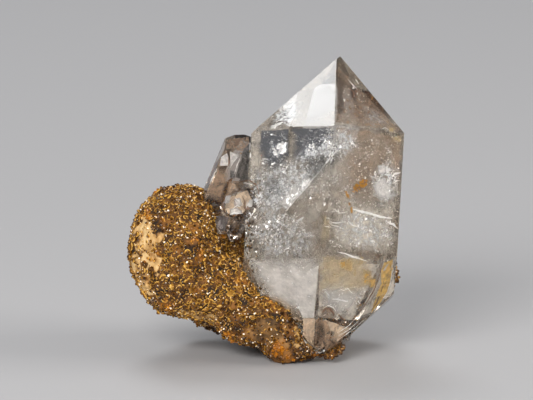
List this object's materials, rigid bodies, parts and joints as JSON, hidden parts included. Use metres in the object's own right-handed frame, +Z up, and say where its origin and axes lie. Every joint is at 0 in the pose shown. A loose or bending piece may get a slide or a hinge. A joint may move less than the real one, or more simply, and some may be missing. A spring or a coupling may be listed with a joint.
{
  "type": "herkimer diamond quartz specimen",
  "caption": "Clear doubly terminated quartz crystal with smaller smoky crystals, grown on a rounded lump of brown rock coated in fine druse; a display specimen that rests on a flat underside.",
  "frame": {"origin": "middle of the specimen's box on the plane that its underside rests on", "axes": "+Z up, +Y away from the viewer of the best side, +X to that viewer's right"},
  "size_m": [0.0584, 0.0432, 0.0615],
  "materials": {
    "quartz": "clear natural crystal faces, faintly smoky, with white healed veils inside and rusty specks",
    "rock": "rough iron-stained dolostone under a sparkling coat of fine amber brown quartz druse"
  },
  "bodies": {
    "root": {"quartz_crystals": "quartz", "matrix": "rock"}
  },
  "joints": []
}
